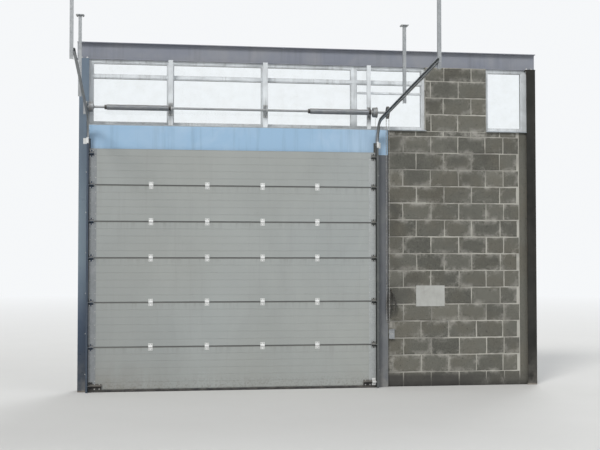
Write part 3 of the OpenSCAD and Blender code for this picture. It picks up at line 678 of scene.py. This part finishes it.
slot_of = {s["node"]: s["material_slot"] for s in frame["record"]["subparts"]}
for name, obj in nodes.items():
    chosen = own_finish.get(name, mats[slot_of[name]])
    if not obj.data.materials:
        obj.data.materials.append(chosen)
    for slot in obj.material_slots:
        slot.material = chosen

# Masonry: courses measured up from the floor, and the bond's straight joints along the wall

COURSE = 0.2414
FIRST_COURSE = 0.205
MODULE = 0.41
JOINT = 0.011
FILL_X = 6.235
PIER_ROW = 16
MORTAR_DEPTH = 0.0052
FILL_DEPTH = 0.0032
GRID = 0.05


def shell(m, n):
    """Faces of two sheets of m by n vertices, one behind the other, joined round their edges."""
    count = m * n
    faces = []
    for i in range(m - 1):
        for j in range(n - 1):
            a, b, c, d = i * n + j, (i + 1) * n + j, (i + 1) * n + j + 1, i * n + j + 1
            faces += [(a, b, c, d), (count + d, count + c, count + b, count + a)]
    loop = [i * n for i in range(m)] + [(m - 1) * n + j for j in range(1, n)]
    loop += [i * n + n - 1 for i in range(m - 2, -1, -1)] + list(range(n - 2, 0, -1))
    return faces + [(b, a, count + a, count + b) for a, b in zip(loop, loop[1:] + loop[:1])]


def block(shape, x0, x1, z0, z1, y0, y1, seed, tone):
    """One block with rough faces, chipped rims and a tone of its own."""
    nx = max(4, int((x1 - x0) / 0.03))
    nz = max(4, int((z1 - z0) / 0.03))
    u = np.concatenate(([0, 0.022], np.linspace(0.07, 0.93, nx - 3), [0.978, 1]))
    v = np.concatenate(([0, 0.036], np.linspace(0.11, 0.89, nz - 3), [0.964, 1]))
    uu, vv = [g.reshape(-1) for g in np.meshgrid(u, v, indexing="ij")]
    edge = np.minimum(np.minimum(uu, 1 - uu) * (x1 - x0), np.minimum(vv, 1 - vv) * (z1 - z0))
    border = edge < 1e-6
    near = (edge < 0.012) & ~border
    tilt = (rng.uniform(-0.0012, 0.0012), rng.uniform(-0.0012, 0.0012), rng.uniform(-0.001, 0.0008))
    sides = []
    for s, y in ((-1, y0), (1, y1)):
        p = np.stack([x0 + (x1 - x0) * uu, np.full_like(uu, y), z0 + (z1 - z0) * vv], -1)
        depth = 0.0009 * rough(p, 42, seed) + 0.0012 * rough(p + 9, 9, seed)
        chips = np.clip(rough(p + 3, 26, seed) - 0.42, 0, 1)
        depth += np.where(border, 0.0055 + 0.012 * chips, 0) + np.where(near, 0.0006 + 0.006 * chips, 0)
        depth += tilt[0] * (uu - 0.5) * 2 + tilt[1] * (vv - 0.5) * 2 - tilt[2]
        p[:, 1] -= s * np.clip(depth, 0.0002, 0.02)
        slide = np.where(border, 0.0008 + 0.001 * rough(p + 5, 34, seed), 0)
        p[:, 0] = np.clip(p[:, 0] + np.where(uu < 0.5, slide, -slide), x0, x1)
        p[:, 2] = np.clip(p[:, 2] + np.where(vv < 0.5, slide, -slide), z0, z1)
        sides.append(p)
    rim = np.clip(1 - edge / 0.055, 0, 1)
    shape.add(np.concatenate(sides), shell(len(u), len(v)), tone, np.concatenate([rim, rim]))


def perpends(row, x_start, x_end):
    """Edges of one course's blocks: half bond up to a straight joint, then a narrow closing block."""
    if row % 2:
        shift = 0.0 if row < 5 else -0.065
        first, closers = 5.58 + shift, (5.976 + shift / 2, 6.198)
    else:
        first, closers = 5.73, (5.998, 6.232)
    edges = [x_start]
    x = first - MODULE * math.ceil((first - x_start) / MODULE)
    while x < min(first + 0.01, x_end - 0.05):
        if x > x_start + 0.05:
            edges.append(x + rng.uniform(-0.006, 0.006))
        x += MODULE
    edges += [x + rng.uniform(-0.004, 0.004) for x in closers if x < x_end - 0.05]
    return edges if x_end > closers[1] else edges + [x_end]


def masonry(shape, low, high, row, course):
    """Courses of blocks, the first as high as given. A wall that reaches the fill ends before it."""
    (x_start, y0, z_start), (x_end, y1, z_end) = low, high
    z, top = z_start, z_start + course
    while z < z_end - 0.02:
        edges = perpends(row, x_start, x_end)
        for a, b in zip(edges, edges[1:]):
            left = a + (JOINT / 2 if a > x_start + 1e-6 else 0.0005)
            right = b - (JOINT / 2 if b < x_end - 1e-6 else 0.0005)
            bottom = z + (JOINT / 2 if z > z_start + 1e-6 else 0.0)
            pale_closer = row == 3 and b > FILL_X - 0.1
            tone = 1.0 if pale_closer else min(1, max(0, rng.gauss(0.4, 0.24)))
            block(shape, left, right, bottom, min(top, z_end) - JOINT / 2, y0, y1,
                  rng.randrange(1, 9000), tone)
        z, top = top, top + COURSE
        row += 1


def slab(shape, low, high, recess, seed, mat=0):
    """The mortar behind the blocks' faces: a slab with both faces a little wavy."""
    nx, nz = [int((high[k] - low[k]) / GRID) + 1 for k in (0, 2)]
    xs, zs = np.linspace(low[0], high[0], nx), np.linspace(low[2], high[2], nz)
    xx, zz = [g.reshape(-1) for g in np.meshgrid(xs, zs, indexing="ij")]
    parts = []
    for s, y in ((-1, low[1]), (1, high[1])):
        p = np.stack([xx, np.full_like(xx, y), zz], -1)
        p[:, 1] -= s * (recess + 0.0016 * rough(p, 14, seed))
        parts.append(p)
    shape.add(np.concatenate(parts), shell(nx, nz), mat=mat)


wall_blocks = Shape()
masonry(wall_blocks, (wall_low[0], wall_low[1], 0.0), wall_high, 0, FIRST_COURSE)
wall_blocks.make("wall_blocks", mats["block"], ["block_wall"], smooth=38)
pier_blocks = Shape()
masonry(pier_blocks, pier_low, pier_high, PIER_ROW, COURSE)
pier_blocks.make("pier_blocks", mats["block"], ["block_pier"], smooth=38)
bed = Shape()
(wall_x0, y0, _), (wall_x1, y1, wall_top) = wall_low, wall_high
beside_column = lo_hi("column_right")[0][0] - 0.002
inset = np.array((0.001, 0, 0))
slab(bed, (wall_x0 + 0.001, y0, 0.0), (FILL_X, y1, wall_top), MORTAR_DEPTH, 11)
slab(bed, (FILL_X, y0, 0.0), (beside_column, y1, wall_top), FILL_DEPTH, 12, 1)
slab(bed, (beside_column, y0, 0.024), (wall_x1 - 0.004, y1, wall_top), FILL_DEPTH, 14, 1)
slab(bed, pier_low + inset, pier_high - inset, MORTAR_DEPTH, 13)
bed.make("mortar_joints", [mortar, mats["block"]], smooth=60)

# Torsion springs: coils of wire between their cones, each held at its right end

springs = Shape()
cones = Shape()
WIRE_R = 0.0042
for (x0, y0, z0), (x1, y1, z1) in solid_boxes("torsion_springs"):
    coil_r = (z1 - z0) / 2 - 0.002 - WIRE_R
    a, b = x0 + 0.03, x1 - 0.03
    turns = int((b - a) / (2 * WIRE_R + 0.0003))
    t = np.linspace(0, 1, turns * 20 + 1)
    angle = 2 * math.pi * turns * t
    tube(springs, np.stack([a + (b - a) * t, shaft_y + coil_r * np.cos(angle),
                            shaft_z + coil_r * np.sin(angle)], -1), WIRE_R, 6)
    core = coil_r - WIRE_R - 0.0005
    for end, face, flange in ((x1, -1, coil_r + WIRE_R + 0.001), (x0, 1, 0.031)):
        lathe(cones, [(0, 0), (flange, 0), (flange, 0.009), (core, 0.013), (core - 0.001, 0.05),
                      (core - 0.004, 0.06), (shaft_r + 0.0005, 0.062), (0, 0.062)],
              (end, shaft_y, shaft_z), (face, 0, 0), 32)
    for q in range(4):
        turn = math.radians(50 + 90 * q)
        out = np.array((0, math.cos(turn), math.sin(turn)))
        hex_bolt(cones, np.array((x0 + 0.0055, shaft_y, shaft_z)) + out * 0.0302, out, *SET_SCREW)
springs.make("spring_coils", mats["spring_steel"], ["torsion_springs"], smooth=60)
cones.make("spring_cones", mats["dark_hardware"])

# Cable that stays wound on the drums: from the first groove inwards

cable_turns = Shape()
cable_low, cable_high = lo_hi("lift_cables")
cable_r = (cable_high[1] - cable_low[1]) / 2
groove_r = (cable_low[1] + cable_high[1]) / 2 - shaft_y
WOUND = 3
t = np.linspace(0, 1, WOUND * 36 + 1)
angle = 2 * math.pi * WOUND * t
for side, start in ((1, cable_low[0] + cable_r), (-1, cable_high[0] - cable_r)):
    tube(cable_turns, np.stack([start + side * 4 * cable_r * WOUND * t,
                                shaft_y + groove_r * np.cos(angle),
                                shaft_z + groove_r * np.sin(angle)], -1), cable_r, 6)
cable_turns.make("cable_turns", mats["steel_wire"], smooth=60)

# Hand chain: links along the loop of the CAD's chain

PITCH = 0.0205
chain_low, chain_high = lo_hi("hand_chain")
loop_mid = (chain_low + chain_high) / 2
chain_x = loop_mid[0]
bar, reach_y, reach_z = (chain_high - chain_low) / 2
loop_r = reach_y - bar
half_run = reach_z - bar - loop_r
half_loop = 2 * half_run + math.pi * loop_r


def on_loop(s):
    """Point and direction at a distance along the loop, starting down the far strand."""
    back, s = divmod(s, half_loop)
    if s < 2 * half_run:
        at, along = np.array((0, loop_r, half_run - s)), np.array((0, 0, -1.0))
    else:
        t = (s - 2 * half_run) / loop_r
        at = np.array((0, loop_r * math.cos(t), -half_run - loop_r * math.sin(t)))
        along = np.array((0, -math.sin(t), -math.cos(t)))
    return (loop_mid - at, -along) if back else (loop_mid + at, along)


def link(shape, centre, along, turned, side=(1.0, 0, 0)):
    """One oval link of the chain, every second one turned by a quarter."""
    half_len, half_wide = PITCH / 2 + 0.0018, 0.0048
    across = np.array(side, float) if turned else np.cross(along, side)
    across /= np.linalg.norm(across)
    path = []
    for q in range(14):
        t = 2 * math.pi * q / 14
        straight = math.copysign(half_len - half_wide, math.cos(t))
        path.append(centre + along * (straight + half_wide * math.cos(t))
                    + across * half_wide * math.sin(t))
    tube(shape, path, 0.0022, 5, closed=True)


links = Shape()
count = 2 * int(half_loop / PITCH)
for k in range(count):
    link(links, *on_loop(2 * half_loop * k / count), k % 2)
links.make("chain_links", mats["steel_wire"], ["hand_chain"], smooth=70)

# Slack of the chain, gathered in loops on a hook in the block wall beside it

slack = Shape()
hook_at = np.array((chain_x + 0.062, wall_low[1] - 0.048, 1.372))
theta = np.linspace(0, 2 * math.pi, 121)
fall = (1 - np.cos(theta)) / 2
bulge = 0.65 * np.sin(theta) * np.sin(theta / 2)
for wide, drop, lean, out in ((0.125, 0.385, 0.004, -0.004), (0.09, 0.345, -0.026, 0.01),
                              (0.13, 0.3, 0.016, -0.018), (0.06, 0.375, -0.034, 0.02),
                              (0.07, 0.255, 0.034, -0.03)):
    path = hook_at + np.stack([wide * bulge + lean * fall, out * (0.4 + 0.6 * fall), -drop * fall], 1)
    steps = np.linalg.norm(np.diff(path, axis=0), axis=1)
    run_at = np.concatenate(([0], np.cumsum(steps)))
    for k in range(int(run_at[-1] / PITCH)):
        middle = (k + 0.5) * PITCH
        here, ahead = [np.array([np.interp(s, run_at, path[:, c]) for c in range(3)])
                       for s in (middle, middle + 0.004)]
        along = (ahead - here) / np.linalg.norm(ahead - here)
        link(slack, here, along, k % 2, (0.0, 1.0, 0.0))
arm = ((0.048, 0.006), (0.02, 0.004), (-0.01, 0.002), (-0.022, 0.006), (-0.028, 0.018),
       (-0.028, 0.032))
tube(slack, [hook_at + np.array((0, y, z)) for y, z in arm], 0.0035, 8)
slack.make("chain_slack", dark_chain, smooth=70)

# Fasteners. ROOM points from the wall into the hall

ROOM = (0, -1, 0)
PLATE = 0.004
CAP_FOOT = 0.035
HINGE_T = 0.003
HINGE_MARGIN = 0.84
HINGE_COUNT = 4
END_HINGE_X = 0.033
TOP_HINGE_DROP = 0.07
BRACKET_Z = 0.085
BASE_T = 0.02


def four(dx, dy):
    """The four corners of a bolt pattern round its middle."""
    return product((-dx, dx), (-dy, dy))


fixings = Shape()
for z in joints:
    for i in range(HINGE_COUNT):
        x = leaf_x0 + HINGE_MARGIN + i * (leaf_x1 - leaf_x0 - 2 * HINGE_MARGIN) / (HINGE_COUNT - 1)
        for dx, dz in four(0.018, 0.034):
            hex_bolt(fixings, (x + dx, leaf_in_y - HINGE_T, z + dz), ROOM, *M5)
cap_edges = [CAP_FOOT] + joints + [leaf_top]
for side, cap_edge in ((1, leaf_x0), (-1, leaf_x1)):
    x = cap_edge + side * END_HINGE_X
    for z in joints + [leaf_top - TOP_HINGE_DROP]:
        for dx, dz in four(0.019, 0.038):
            hex_bolt(fixings, (x + dx, cap_y - HINGE_T, z + dz), ROOM, *M5)
    for dx, dz in product((0.088, 0.153), (-0.039, 0.021)):
        hex_bolt(fixings, (cap_edge + side * dx, cap_y - HINGE_T, BRACKET_Z + dz), ROOM, *M6)
    for z0, z1 in zip(cap_edges, cap_edges[1:]):
        for f, dx in product((0.2, 0.5, 0.8), (cap_w - 0.012, 0.014)):
            dome_head(fixings, (cap_edge + dx * side, cap_y, z0 + (z1 - z0) * f), ROOM, 0.0042)

for side, name in ((1, "track_left"), (-1, "track_right")):
    low, high = lo_hi(name)
    outer_x = low[0] if side == 1 else high[0]
    for z in np.arange(0.25, high[2], 0.55):
        at = (outer_x - side * 0.003, (low[1] + high[1]) / 2, z)
        hex_bolt(fixings, at, (-side, 0, 0), *M8_LOW)

for x0 in (0.0, bay_w):
    for dx, dy in four(0.04, 0.075):
        cap_x, cap_bolt_y = x0 + dx * 0.9, dy * 0.6
        hex_bolt(fixings, (x0 + dx, dy, BASE_T), (0, 0, 1), *M20, 0.024)
        hex_bolt(fixings, (cap_x, cap_bolt_y, head_z + 0.01), (0, 0, 1), *M16, 0.008)
        hex_bolt(fixings, (cap_x, cap_bolt_y, head_z - 0.012), (0, 0, -1), *M16, 0.01)

low, high = lo_hi("wall_plate")
for x, z in product((low[0] + 0.025, high[0] - 0.025), (low[2] + 0.025, high[2] - 0.025)):
    dome_head(fixings, (x, low[1], z), ROOM, 0.0055)

keeper_mid = sum(lo_hi("chain_keeper")) / 2
for dx in (-0.013, 0.013):
    hex_bolt(fixings, (keeper_mid[0] + dx, wall_low[1] - PLATE, keeper_mid[2]), ROOM, *M6)

# Bearing plates: bolts in the feet, and a flanged bearing on the shaft at the outer side of each web
plates = solid_boxes("bearing_plates")
for (x0, _, z0), (x1, _, z1) in plates:
    for x, z in product((x0 + 0.014, x1 - 0.014), (z0 + 0.016, z1 - 0.016)):
        hex_bolt(fixings, (x, face_y - PLATE, z), ROOM, *M8)
webs = [plates[0][1][0] - PLATE] + [(b[0][0] + b[1][0] + PLATE) / 2 for b in plates[1:3]]
webs.append(plates[3][1][0] - PLATE)
BEARING = [(0, 0), (0.034, 0), (0.034, 0.0025), (0.026, 0.004), (0.024, 0.011), (0.02, 0.0125),
           (0, 0.0125)]
for x, side in zip(webs, (-1, 1, 1, -1)):
    lathe(fixings, BEARING, (x, shaft_y, shaft_z), (side, 0, 0), 28)
    for q in range(3):
        turn = math.radians(30 + 120 * q)
        at = (x + side * 0.0025, shaft_y + 0.029 * math.cos(turn), shaft_z + 0.029 * math.sin(turn))
        hex_bolt(fixings, at, (side, 0, 0), *BEARING_SCREW)

# Hangers: bolts up into the roof steel, and through the angle into the track
for (x0, y0, z0), (x1, y1, z1) in solid_boxes("track_hangers"):
    for x, y in product((x0 + 0.014, x1 - 0.014), (y0 + 0.014, y1 - 0.014)):
        hex_bolt(fixings, (x, y, z1 - 2 * PLATE), (0, 0, -1), *M8)
    side = -1 if x1 < leaf_x1 else 1
    leg_x = x1 - 0.03 - PLATE if side < 0 else x0 + 0.03 + PLATE
    for dy, dz in ((0.042, 0.071), (0.06, 0.089)):
        hex_bolt(fixings, (leg_x, y0 + dy, z0 + dz), (side, 0, 0), *M6)

fixings.make("fasteners", zinc, smooth=35)

# Weld beads where the columns stand on their base plates

welds = Shape()
FLANGE, HALF_WEB = 0.01, 0.0035
BEAD = [(0, -0.001), (0.0036, -0.001), (0.0042, 0.0015), (0.0032, 0.0038), (0.0012, 0.0048),
        (0, 0.005)]
inner = -face_y - FLANGE - 0.001
runs = [((s * (HALF_WEB + 0.016), t * inner), (s * column_half, t * inner)) for s, t in four(1, 1)]
runs += [((x, 0.016 - inner), (x, inner - 0.016)) for x in (-HALF_WEB - 0.001, HALF_WEB + 0.001)]
for x0 in (0.0, bay_w):
    for a, b in runs:
        count = int(math.dist(a, b) / 0.0036)
        for i in range(count):
            f = (i + 0.5) / count
            at = (x0 + a[0] + (b[0] - a[0]) * f, a[1] + (b[1] - a[1]) * f, BASE_T - 0.0005)
            lathe(welds, BEAD, at, (0, 0, 1), 6, rng.random())
welds.make("weld_beads", mats["base_steel"], smooth=60)

# Sheet parts: straps over the bottom rollers' tubes, and brackets where the upright tracks end

low, high = min(solid_boxes("rollers"), key=lambda box: box[0][2])
_, roller_y, roller_z = (low + high) / 2
strap_y = cap_y - 0.0036
strap_path = [(strap_y, roller_z + 0.055), (strap_y, roller_z + 0.0262),
              (roller_y - 0.003, roller_z + 0.0098)]
for q in range(1, 6):
    turn = math.radians(90 + 30 * q)
    strap_path.append((roller_y + 0.0095 * math.cos(turn), roller_z + 0.0095 * math.sin(turn)))
strap_path += [(roller_y - 0.003, roller_z - 0.0098), (strap_y, roller_z - 0.0262),
               (strap_y, roller_z - 0.046)]
# The same strap in a shaded and a lit copy: the left takes the dark finish as painted shade, the right
# bright zinc as painted light.
for side, edge, name, slot in ((1, leaf_x0, "foot_strap_left", "dark_hardware"),
                               (-1, leaf_x1, "foot_strap_right", "bright_zinc")):
    strap = Shape()
    start, end = sorted((edge + side * 0.0035, edge + side * 0.06))
    sheet(strap, strap_path, -0.0015, start, end, lambda u, v, w: (w, u, v))
    for dz, dx in product((0.042, -0.037), (0.018, 0.046)):
        hex_bolt(strap, (edge + side * dx, strap_y - 0.0015, roller_z + dz), ROOM, *STRAP_BOLT)
    strap.make(name, mats[slot], smooth=35)

brackets = Shape()
low, high = lo_hi("track_right")
angle_x = high[0] + 0.0034
mid_x = (leaf_x0 + leaf_x1) / 2
z = high[2] - 0.075
for side in (-1, 1):
    path = [(low[0] + 0.001, low[1] - 0.0004), (angle_x, low[1] - 0.0004),
            (angle_x, face_y - 0.0004), (angle_x + 0.052, face_y - 0.0004)]
    path = [(mid_x + side * (u - mid_x), v) for u, v in path]
    sheet(brackets, path, side * -0.003, z, z + 0.08, lambda u, v, w: (u, v, w))
    for x, y in ((low[0] + 0.012, low[1] - 0.0034), (angle_x + 0.028, face_y - 0.0034)):
        for dz in (0.02, 0.06):
            hex_bolt(brackets, (mid_x + side * (x - mid_x), y, z + dz), ROOM, *BRACKET_BOLT)
brackets.make("track_brackets", mats["bright_zinc"], smooth=35)

# Glazing: rubber and a snap-in bead round each pane, and a thin bar in the light beside the pier

beads = Shape()
seals = Shape()
EASE = 0.0012
for (x0, y0, z0), (x1, y1, z1) in solid_boxes("window_panes"):
    for s, y in ((-1, y0), (1, y1)):
        for shape, wide, near, far in ((seals, 0.017, 0.0, 0.004), (beads, 0.014, 0.004, 0.018)):
            ya, yb = sorted((y + s * near, y + s * far))
            plate(shape, (x0, ya, z0), (x0 + wide, yb, z1), EASE)
            plate(shape, (x1 - wide, ya, z0), (x1, yb, z1), EASE)
            plate(shape, (x0 + wide, ya, z0), (x1 - wide, yb, z0 + wide), EASE)
            plate(shape, (x0 + wide, ya, z1 - wide), (x1 - wide, yb, z1), EASE)
for (x0, y0, z0), (x1, y1, z1) in solid_boxes("window_panes"):
    if pier_low[0] - 0.15 < x1 < pier_low[0] + 0.05 and z1 - z0 > 0.3:
        bar_z = z1 - 0.132
        for ya, yb in ((y0 - 0.02, y0), (y1, y1 + 0.02)):
            plate(beads, (x0 + 0.014, ya, bar_z - 0.014), (x1 - 0.014, yb, bar_z + 0.014), 0.002)
beads.make("glazing_beads", mats["window_frame"])
seals.make("glazing_rubber", mats["rubber"])

# Stage, world, light and camera

BACKGROUND = (0.92, 0.935, 0.95)


def seen_rays(nt):
    """1 for what the camera, a reflection or a look through glass shows."""
    path = nt.nodes.new("ShaderNodeLightPath")
    rays = path.outputs["Is Camera Ray"]
    for kind in ("Is Glossy Ray", "Is Transmission Ray"):
        pick = nt.nodes.new("ShaderNodeMath")
        pick.operation = "MAXIMUM"
        nt.links.new(rays, pick.inputs[0])
        nt.links.new(path.outputs[kind], pick.inputs[1])
        rays = pick.outputs[0]
    return rays


def stage():
    """A pale floor that fades into the backdrop's colour far from the object."""
    mesh = bpy.data.meshes.new("floor")
    size = 120
    mesh.from_pydata([(-size, -size, 0), (size, -size, 0), (size, size, 0), (-size, size, 0)], [],
                     [(0, 1, 2, 3)])
    floor = bpy.data.objects.new("floor", mesh)
    bpy.context.scene.collection.objects.link(floor)
    m = Mat("floor_pale", (0.56, 0.55, 0.53), 0.85)
    m.done(m.mix(m.noise(0.8, 5, 0.6), (0.62, 0.615, 0.6), (0.58, 0.575, 0.56)), 0.85)
    nt = m.nt
    from_middle = m.node("VectorMath", {0: m.c, 1: (-3.2, 0, 0)}, operation="ADD")[0]
    length = m.node("VectorMath", {0: from_middle}, operation="LENGTH")["Value"]
    far = m.remap(length, 7.0, 42.0)
    glow = m.node("Emission", {"Color": BACKGROUND, "Strength": 1.0})[0]
    blend = m.node("MixShader", {0: m.mul(far, seen_rays(nt)), 1: m.b.outputs[0], 2: glow})[0]
    nt.links.new(blend, nt.nodes["Material Output"].inputs["Surface"])
    mesh.materials.append(m.m)


def world():
    """A pale background, and a softer even light on the object."""
    w = bpy.data.worlds.new("studio")
    bpy.context.scene.world = w
    w.use_nodes = True
    nt = w.node_tree
    nt.nodes.clear()
    out = nt.nodes.new("ShaderNodeOutputWorld")
    mix = nt.nodes.new("ShaderNodeMixShader")
    nt.links.new(seen_rays(nt), mix.inputs[0])
    for k, colour, strength in ((1, (0.95, 0.975, 1.0), 0.55), (2, BACKGROUND, 1.0)):
        light = nt.nodes.new("ShaderNodeBackground")
        light.inputs["Color"].default_value = (*colour, 1)
        light.inputs["Strength"].default_value = strength
        nt.links.new(light.outputs[0], mix.inputs[k])
    nt.links.new(mix.outputs[0], out.inputs[0])


def sun(name, towards, strength, soft, colour):
    """A soft distant lamp that shines along a direction."""
    lamp = bpy.data.lights.new(name, "SUN")
    lamp.energy = strength
    lamp.angle = math.radians(soft)
    lamp.color = colour
    obj = bpy.data.objects.new(name, lamp)
    obj.rotation_euler = Vector(towards).to_track_quat("-Z", "Y").to_euler()
    obj.location = (3.2, -6.0, 8.0)
    bpy.context.scene.collection.objects.link(obj)


stage()
world()
sun("key", (0.55, 0.85, -0.75), 1.9, 16, (1.0, 0.985, 0.96))
sun("fill", (-0.75, 0.6, -0.35), 0.55, 40, (0.95, 0.975, 1.0))
sun("back", (-0.35, -0.8, -0.7), 1.0, 25, (0.95, 0.975, 1.0))

camera_data = bpy.data.cameras.new("camera")
camera = bpy.data.objects.new("camera", camera_data)
bpy.context.scene.collection.objects.link(camera)
camera_data.sensor_width = 36
camera_data.lens = 65
camera_data.clip_end = 200
camera.location = (0.778, -15.239, 1.79)
aim = Vector((3.02, 0.0, 2.3))
camera.rotation_euler = (aim - camera.location).to_track_quat("-Z", "Y").to_euler()
bpy.context.scene.camera = camera
bpy.context.scene.view_settings.view_transform = "Standard"
